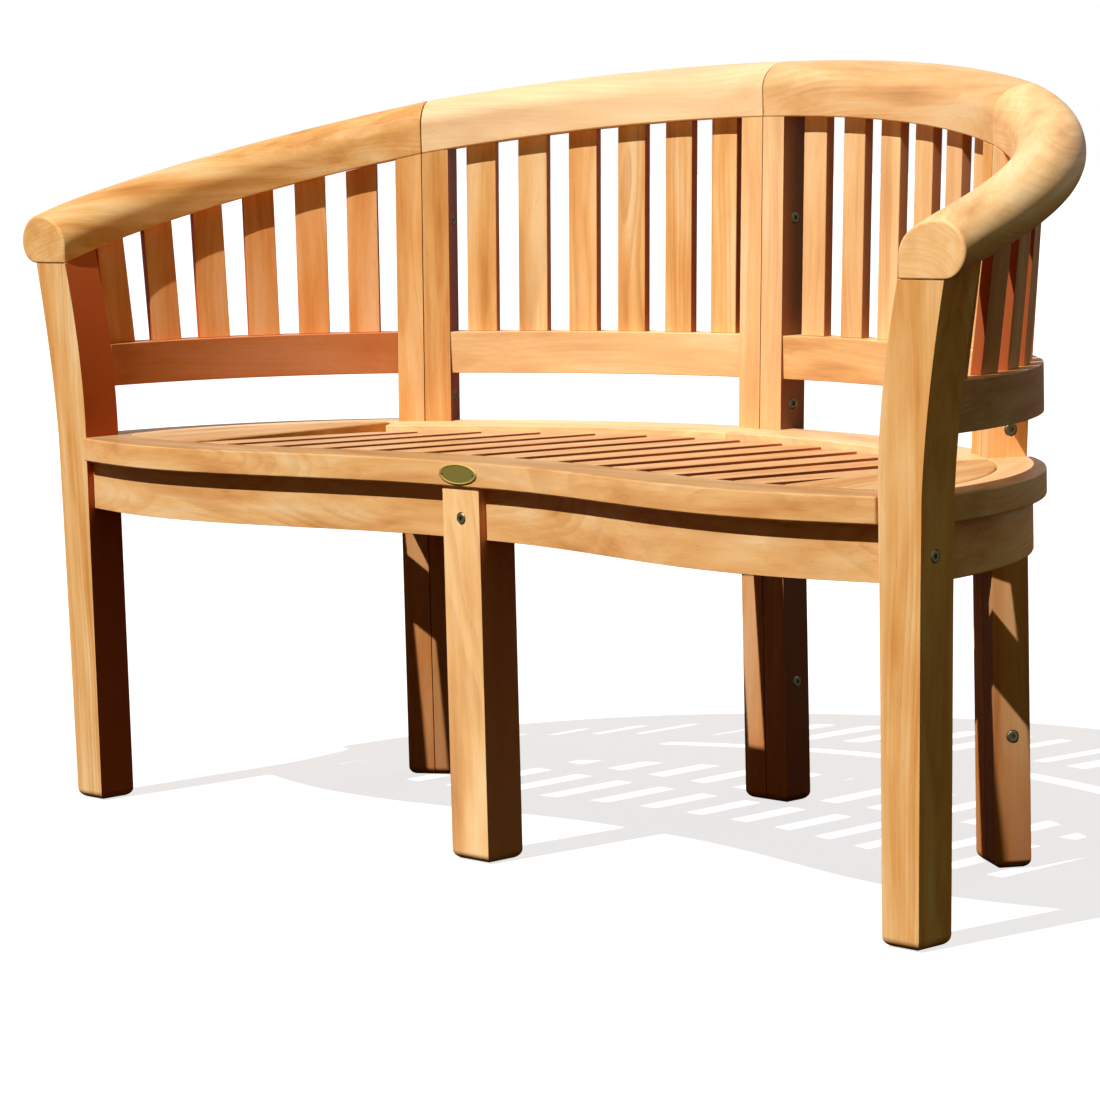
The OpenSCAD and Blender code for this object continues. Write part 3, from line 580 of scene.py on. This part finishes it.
# a half post's sides that face along the bench are darker and redder: painted shade and painted
# reddish bounce light
HALF_POST_FLANK_SHADE = (0.5, 0.95)
HALF_POST_FOOT = (0.18, 0.50, 1.0)
NO_FOOT = (0.0, 0.0, 0.0)
# single posts whose tone differs in the photograph
POST_LIGHT = {"middle_leg": 1.12, "half_post_back_left_inner": 1.02, "half_post_back_left_outer": 0.93}
POST_PALE = {"middle_leg": 0.12, "half_post_back_left_inner": 0.20, "half_post_back_right_inner": 0.24,
             "half_post_arm_right": 0.16}
# the middle leg's and left front post's redness is painted reddish bounce light in their shade; the
# negative shares of the right front post and the right arm's half post paint light on those sides
POST_FLANK_SHADE_AND_LIGHT = {"middle_leg": (0.05, 0.8), "front_post_left": (0.05, 1.0),
               "front_post_right": (-0.2, 0.0), "half_post_arm_right": (-0.75, 0.0)}
# the right arm's half post is darker and redder low down, which takes back part of its painted light
# near the ground
POST_FOOT = {"half_post_arm_right": (0.50, 0.60, 1.0)}
posts = [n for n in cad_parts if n.startswith(("front_post", "half_post", "middle_leg"))]
for node in sorted(posts):
    split = node.startswith("half_post")
    middle_x = mesh_points(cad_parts[node].data)[:, 0].mean()
    eased_copy(node, POST_EASE, from_seam if split else None, light=POST_LIGHT.get(node, 1.0),
               pale=POST_PALE.get(node, 0.0), flanks=POST_FLANK_SHADE_AND_LIGHT.get(node, HALF_POST_FLANK_SHADE),
               flank_axis=seam_near(middle_x)[1] if split else ALONG_BENCH,
               foot=POST_FOOT.get(node, HALF_POST_FOOT) if split else NO_FOOT)
print("posts and legs:", len(posts))

# %% Seat ring, end pieces, aprons and bearers
BOARD_EASE = 0.0022
# upper sides are darker by the top shares: painted shade that holds back the high sun, and on the
# seat's front board and end pieces also wear
BOARD_LIGHT, BOARD_PALE, RING_PALE, BOARD_TOP_SHADE = 1.03, 0.06, 0.24, 0.18
TOP_SHADE_AND_WEAR = {"seat_board_front": 0.50, "seat_end_left": 0.38, "seat_end_right": 0.38}
boards = [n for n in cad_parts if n.startswith(("seat_board", "seat_end", "apron", "bearer"))]
for node in sorted(boards):
    pale = RING_PALE if node.startswith(("seat_board_side", "seat_board_back")) else BOARD_PALE
    eased_copy(node, BOARD_EASE, light=BOARD_LIGHT, pale=pale, top=TOP_SHADE_AND_WEAR.get(node, BOARD_TOP_SHADE))
print("boards:", len(boards))

# %% Seat slats
SEAT_SLAT_EASE = 0.0005
SEAT_SLAT_TRIM = 0.003
# the seat slats' flanks are redder and a little lighter: painted reddish bounce light in the gaps
SEAT_SLAT_TONE = {"light": 0.72, "redness": 0.14, "pale": 0.14, "flanks": (-0.1, 0.8)}


def trimmed(points):
    """Moves both flanks of a seat slat in, so that its gaps look as wide as in the photograph."""
    middle = (points[:, 0].min() + points[:, 0].max()) / 2
    inwards = np.sign(middle - points[:, 0])
    return points + np.outer(inwards * SEAT_SLAT_TRIM, ALONG_BENCH)


seat_slats = [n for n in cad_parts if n.startswith("seat_slat")]
for node in sorted(seat_slats):
    eased_copy(node, SEAT_SLAT_EASE, trimmed, **SEAT_SLAT_TONE)
print("seat slats:", len(seat_slats))

# %% Lower rails and back slats
SLAT_EASE = 0.0010
BACK_LIGHT, BACK_PALE = 0.95, 0.03
# the back slats' flanks are darker and redder: partly their own redder side grain, partly painted
# shade and painted reddish bounce light
SLAT_FLANK_COLOUR_AND_SHADE, NO_FLANKS = (0.12, 0.85), (0.0, 0.0)
# single groups and rails whose tone differs in the photograph
# the right arm's lower rail and slats and the left arm's lower rail stand in shade: their lower light
# and the left rail's redness are painted shade
GROUP_LIGHT_AND_PAINTED_SHADE = {"slats_arm_left": 1.12, "slats_arm_right": 0.80, "lower_rail_arm_right": 0.72,
             "lower_rail_arm_left": 0.85}
REDDER = {"slats_arm_left": 0.36, "lower_rail_arm_left": 0.66, "slats_arm_right": 0.10}
PALER = {"lower_rail_back_left": 0.24, "slats_back_right": 0.18, "lower_rail_back_right": 0.12,
         "slats_arm_left": 0.0}
back_boards = [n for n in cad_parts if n.startswith(("lower_rail", "slats"))]
for node in sorted(back_boards):
    eased_copy(node, SLAT_EASE, light=GROUP_LIGHT_AND_PAINTED_SHADE.get(node, BACK_LIGHT), redness=REDDER.get(node, 0.0),
               pale=PALER.get(node, BACK_PALE),
               flanks=SLAT_FLANK_COLOUR_AND_SHADE if node.startswith("slats") else NO_FLANKS)
print("lower rails and slat groups:", len(back_boards))

# %% [markdown]
# ## The top rail
# The rail is the bench's showpiece: four lengths of thick teak, shaped by hand into a rounded
# mushroom that swells towards the arm ends. It could be copied from the frame, but the frame's
# rail has coarse facets. So it is worked out again here as a smooth sweep. A section of a flat
# inner side, three quarter ellipses and a flat underside follows the curve of the back and arm,
# and its width, height and lean change slowly along the way. The ends are eased: narrowly and
# darker at the joints, which draws their thin seams, and more widely at the arm's sawn end.

# %% The rail's section and its run
# heights, drops, widths and leans are in metres, the others are shares
RAIL_Z, RAIL_DROP, ARM_DROP, ARM_EVEN = 0.797, 0.0346, 0.1186, 0.723
RAIL_TALL, TALL_CORNER, TALL_END = 0.063, 0.001, 0.006
RAIL_WIDE, WIDE_END = 0.068, 0.084
CROWN, WIDEST, UNDER, INNER, INNER_END = 0.6, 0.45, 0.69, 0.51, 0.37
LEAN_MIDDLE, LEAN_CORNER, LEAN_FRONT = 0.0155, 0.0174, 0.028
CORNER_EASE = 0.0022
QUARTER_POINTS, SIDE_POINTS, FLAT_POINTS = 15, 5, 7
quarter = np.linspace(0, np.pi / 2, QUARTER_POINTS)


def rail_run(s):
    """The underside's height, the section's height and width, the flat share of its inner side,
    and its lean outwards at arc length s. The underside falls with the square of the length along
    the back, then with a mix of the length along the arm and its square. The width grows with the
    square of the length along the arm, and the rest change evenly."""
    on_back = s <= S_CORNER
    back = s / S_CORNER
    arm = np.maximum(0, (s - S_CORNER) / (S_END - S_CORNER))
    bend = np.clip((s - S_CORNER) / (S_ARC - S_CORNER), 0, 1)
    under = np.where(on_back, RAIL_Z - RAIL_DROP * back ** 2,
                     RAIL_Z - RAIL_DROP - ARM_DROP * arm * (ARM_EVEN + (1 - ARM_EVEN) * arm))
    tall = np.where(on_back, RAIL_TALL + TALL_CORNER * back,
                    RAIL_TALL + TALL_CORNER - (TALL_CORNER + TALL_END) * arm)
    wide = RAIL_WIDE + (WIDE_END - RAIL_WIDE) * arm ** 2
    inner = INNER + (INNER_END - INNER) * arm
    lean = np.where(on_back, LEAN_MIDDLE + (LEAN_CORNER - LEAN_MIDDLE) * back,
                    LEAN_CORNER + (LEAN_FRONT - LEAN_CORNER) * bend)
    return under, tall, wide, inner, lean


def rail_section(wide, tall, inner):
    """Offsets and heights round the section: a small rounding at the inner corner, the flat
    side, a quarter ellipse up to the crown, one down to the outer bulge, one back to the
    underside, and the flat underside."""
    crown, widest, under = CROWN * wide, WIDEST * tall, UNDER * wide
    side = np.linspace(0, 1, SIDE_POINTS)[1:-1]
    flat = np.linspace(0, 1, FLAT_POINTS)[1:-1]
    offset = [CORNER_EASE * (1 - np.sin(quarter[::3])) + 0 * wide,
              0 * side + 0 * wide,
              crown - crown * np.cos(quarter),
              crown + (wide - crown) * np.sin(quarter[1:]),
              under + (wide - under) * np.cos(quarter[1:]),
              under + (CORNER_EASE - under) * flat]
    height = [CORNER_EASE * (1 - np.cos(quarter[::3])) + 0 * tall,
              CORNER_EASE + (inner * tall - CORNER_EASE) * side,
              inner * tall + (1 - inner) * tall * np.sin(quarter),
              widest + (tall - widest) * np.cos(quarter[1:]),
              widest - widest * np.sin(quarter[1:]),
              0 * flat + 0 * tall]
    return np.concatenate(offset, -1), np.concatenate(height, -1)


print("rail's width in mm, at the middle and at the arm's end:", RAIL_WIDE * 1000, WIDE_END * 1000)

# %% The rail's faces and its log
CHORD_OUT = 0.03
PITH_ASIDE = 0.03
PITH_BELOW = (0.02, 0.04)


def tube_faces(n, m):
    """Faces for n rings of m points each, numbered ring by ring: a four-sided face from each
    point to the next and to the ring that follows, and at each end a fan of triangles to one of
    the two points that come after the rings."""
    ring, following = np.arange(m), (np.arange(m) + 1) % m
    first = np.arange(n - 1)[:, None] * m + ring
    ahead = np.arange(n - 1)[:, None] * m + following
    quads = np.stack([first, ahead, ahead + m, first + m], -1).reshape(-1, 4)
    fans = np.concatenate([np.stack([following, ring, 0 * ring + n * m], -1),
                           np.stack([ring + (n - 1) * m, following + (n - 1) * m,
                                     0 * ring + n * m + 1], -1)])
    return quads, fans


def plank_log(points, s0, s1, lowest):
    """Each point's place in the log of a plank from s0 to s1. Its grain runs straight along its
    chord, and the log's centre is a little below the lowest height."""
    ends = along_curve(np.array([s0, s1]), np.full(2, CHORD_OUT), np.zeros(2))
    chord = (ends[1] - ends[0]) / np.linalg.norm(ends[1] - ends[0])
    axes = np.stack([chord, np.cross([0, 0, 1], chord), [0, 0, 1]], 1)
    return (points - ends.mean(0)) @ axes + [generator.uniform(-LOG_REACH, LOG_REACH),
                                             generator.uniform(-PITH_ASIDE, PITH_ASIDE),
                                             generator.uniform(*PITH_BELOW) - lowest]


print("log's centre below the rail by mm:", [round(v * 1000) for v in PITH_BELOW])

# %% Sweep the rail
ROW_MM = 6.0
RAIL_TOP_SHADE = 0.22
END_EASE = 0.0030
EASE_POINTS = 6
JOINT_DARK = 0.6


def rail_length(name, s0, s1, ease0, ease1, sign, light, redness, pale):
    """Carries the section from s0 to s1. Near each end it shrinks towards its middle along a
    quarter circle, and a fan of triangles closes the flat that is left."""
    rows = np.linspace(s0 + ease0, s1 - ease1, int((s1 - s0) * 1000 / ROW_MM))
    turn = np.linspace(0, np.pi / 2, EASE_POINTS)
    start, start_in = s0 + ease0 * (1 - np.sin(turn[::-1])), ease0 * (1 - np.cos(turn[::-1]))
    stop, stop_in = s1 - ease1 * (1 - np.sin(turn)), ease1 * (1 - np.cos(turn))
    s = np.concatenate([start, rows[1:-1], stop])
    shrink = np.concatenate([start_in, 0 * rows[1:-1], stop_in])
    under, tall, wide, inner, lean = [v[:, None] for v in rail_run(s)]
    offset, height = rail_section(wide, tall, inner)
    half = tall / 2
    keep = 1 - shrink[:, None] / half
    offset = lean + wide * 0.5 + (offset - wide * 0.5) * keep
    height = under + half + (height - half) * keep
    grid = along_curve(s[:, None] + 0 * offset, offset, height)
    caps = grid[[0, -1]].mean(1)
    points = np.concatenate([grid.reshape(-1, 3), caps])
    log_place = plank_log(points, s0, s1, under.min())
    n, m = offset.shape
    tones = np.tile([light, redness, pale], (len(points), 1))
    own_ease = np.where(np.arange(n) < n / 2, ease0, ease1)
    end = np.append(np.repeat(np.clip(shrink / own_ease * 2 - 1, 0, 1), m), [1, 1])
    in_joint = np.append(np.repeat(own_ease < END_EASE, m), [ease0 < END_EASE, ease1 < END_EASE])
    tones[:, 0] *= 1 - JOINT_DARK * end * in_joint
    points[:, 0] *= sign
    quads, fans = tube_faces(n, m)
    mesh = bpy.data.meshes.new(name)
    mesh.from_pydata(points.tolist(), [], [*quads[:, ::-sign].tolist(), *fans[:, ::-sign].tolist()])
    # the upper side is darker by this share: painted shade that holds back the high sun
    tones[:, 0] *= 1 - RAIL_TOP_SHADE * np.clip(area_normals(mesh)[:, 2], 0, 1)
    piece = bpy.data.objects.new(name, mesh)
    bpy.context.scene.collection.objects.link(piece)
    finish_wood(piece, log_place, tones, end)
    return piece


print("rows along the rail every mm:", ROW_MM)

# %% The four lengths
JOINT_EASE = 0.0012
JOINT_GAP = 0.0005
BACK = (JOINT_GAP, S_CORNER - JOINT_GAP, JOINT_EASE, JOINT_EASE)
ARM = (S_CORNER + JOINT_GAP, S_END, JOINT_EASE, END_EASE)
# each length's start, stop and easings, its side of the bench, and its light, redness and paleness
RAILS = {"top_rail_back_right": (*BACK, 1, 0.94, 0.02, 0.16),
         "top_rail_arm_right": (*ARM, 1, 1.10, 0.0, 0.20),
         "top_rail_back_left": (*BACK, -1, 1.04, 0.0, 0.46),
         "top_rail_arm_left": (*ARM, -1, 0.98, 0.03, 0.0)}
for node, values in RAILS.items():
    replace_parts(rail_length(node + "_carved", *values), node)
    box = mesh_points(bpy.data.meshes[node + "_carved"])
    model = mesh_points(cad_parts[node].data)
    apart = np.abs([box.min(0) - model.min(0), box.max(0) - model.max(0)]).max()
    print(node, "differs from the frame's box by mm:", round(apart * 1000, 2))

# %% [markdown]
# ## Bolts and nuts
# The bolts are stainless steel with round heads and hexagon sockets, set just below the wood. Out
# of doors they have gone a dull olive grey, uneven and hardly bright. One even grey would look
# painted. So noise a few millimetres wide changes the metal's colour and roughness, in the piece's
# own object coordinates.

# %% Steel
BLOTCH_MM = 2.5
STEEL_ROUGH, STEEL_SMOOTH = 0.62, 0.45


def finish_metal(tree, out, colour, noise, roughest, smoothest):
    """Makes a metal surface of a colour. Its roughness falls evenly as the noise rises."""
    rough = add(tree, "ShaderNodeMapRange", {"Value": noise, "From Min": 0.3, "From Max": 0.7,
                                             "To Min": roughest, "To Max": smoothest})
    metal = add(tree, "ShaderNodeBsdfPrincipled", {"Base Color": colour, "Metallic": 1.0,
                                                   "Roughness": rough.outputs[0]})
    tree.links.new(metal.outputs[0], out.inputs["Surface"])


steel, tree, out = new_material("weathered stainless steel")
where = add(tree, "ShaderNodeTexCoord")
blotch = add(tree, "ShaderNodeTexNoise", {"Vector": where.outputs["Object"], "Scale": 1000 / BLOTCH_MM,
                                          "Detail": 3.0, "Roughness": 0.6})
grey = add(tree, "ShaderNodeMix", {"Factor": blotch.outputs["Fac"], 6: hex_colour("#48442f"),
                                   7: hex_colour("#8f8768")}, data_type="RGBA")
finish_metal(tree, out, grey.outputs[2], blotch.outputs["Fac"], STEEL_ROUGH, STEEL_SMOOTH)
steel_nodes = ("post_bolts", "post_nuts", "seat_bolts", "plate_pins")
for node in steel_nodes:
    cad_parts[node].data.materials.clear()
    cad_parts[node].data.materials.append(steel)
print("nodes in steel:", len(steel_nodes))

# %% [markdown]
# ## Trade plate
# A small oval brass plate is pinned to the seat's front edge. It is thin, tarnished to olive in
# its field and rubbed brighter on its raised rim. It could be a plain cylinder, but the rim
# catches the light. So it is a set of rings, each at a share of the radius and a height, and the
# rim is one bump in the heights.

# %% Brass
STAIN_MM = 2.381
BRASS_ROUGH, BRASS_SMOOTH = 0.6, 0.42
brass, tree, out = new_material("tarnished brass")
where = add(tree, "ShaderNodeTexCoord")
stain = add(tree, "ShaderNodeTexNoise", {"Vector": where.outputs["Object"], "Scale": 1000 / STAIN_MM,
                                         "Detail": 4.0, "Roughness": 0.65})
rim = add(tree, "ShaderNodeAttribute", attribute_name="rim")
dulled = add(tree, "ShaderNodeMix", {"Factor": stain.outputs["Fac"], 6: hex_colour("#857a33"),
                                     7: hex_colour("#bfae5c")}, data_type="RGBA")
rubbed = add(tree, "ShaderNodeMix", {"Factor": rim.outputs["Fac"], 6: dulled.outputs[2],
                                     7: hex_colour("#d2b864")}, data_type="RGBA")
finish_metal(tree, out, rubbed.outputs[2], stain.outputs["Fac"], BRASS_ROUGH, BRASS_SMOOTH)
print("stains in the brass every mm:", STAIN_MM)

# %% The plate
PLATE_RIM = 0.00035
PLATE_SIDES = 96
plate_box = mesh_points(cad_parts["trade_plate"].data)
low, high = plate_box.min(0), plate_box.max(0)
# the plate's profile from its middle to its edge: share of the radius, and share of the rim
share = np.array([0.0, 0.3, 0.6, 0.84, 0.88, 0.91, 0.94, 0.97, 0.99, 1.0])
lift = np.array([0, 0, 0, 0, 0.5, 1, 1, 0.7, 0.1, -0.8]) * PLATE_RIM
angle = np.linspace(0, 2 * np.pi, PLATE_SIDES + 1)[:-1]
middle, half_size = (low + high) / 2, (high - low) / 2
ring_x = middle[0] + half_size[0] * share[1:, None] * np.cos(angle)
ring_z = middle[2] + half_size[2] * share[1:, None] * np.sin(angle)
front_y = low[1] + PLATE_RIM
ring_y = front_y - lift[1:, None] + 0 * ring_x
# rings from the innermost to the edge, then one more at the back
rows = np.concatenate([np.stack([ring_x, ring_y, ring_z], -1),
                       np.stack([ring_x[-1:], high[1] + 0 * ring_x[-1:], ring_z[-1:]], -1)])
n, m = rows.shape[:2]
points = np.concatenate([rows.reshape(-1, 3), [[middle[0], front_y, middle[2]],
                                               [middle[0], high[1], middle[2]]]])
quads, fans = tube_faces(n, m)
mesh = bpy.data.meshes.new("trade_plate_rimmed")
# the rings run the other way round here, so each face is listed backwards to point outwards
mesh.from_pydata(points.tolist(), [], [*quads[:, [0, 3, 2, 1]].tolist(), *fans[:, [1, 0, 2]].tolist()])
plate = bpy.data.objects.new("trade_plate_rimmed", mesh)
bpy.context.scene.collection.objects.link(plate)
brightness = np.append(np.repeat(np.append(np.clip(lift[1:] / PLATE_RIM, 0, 1), 0), m), [0, 0])
store(mesh, "rim", "FLOAT", brightness)
mesh.materials.append(brass)
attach(plate, "root")
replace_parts(plate, "trade_plate")
print("plate's width and height in mm:", np.round((high - low)[[0, 2]] * 1000, 1))

# %% View settings
bpy.context.scene.view_settings.view_transform = "Standard"
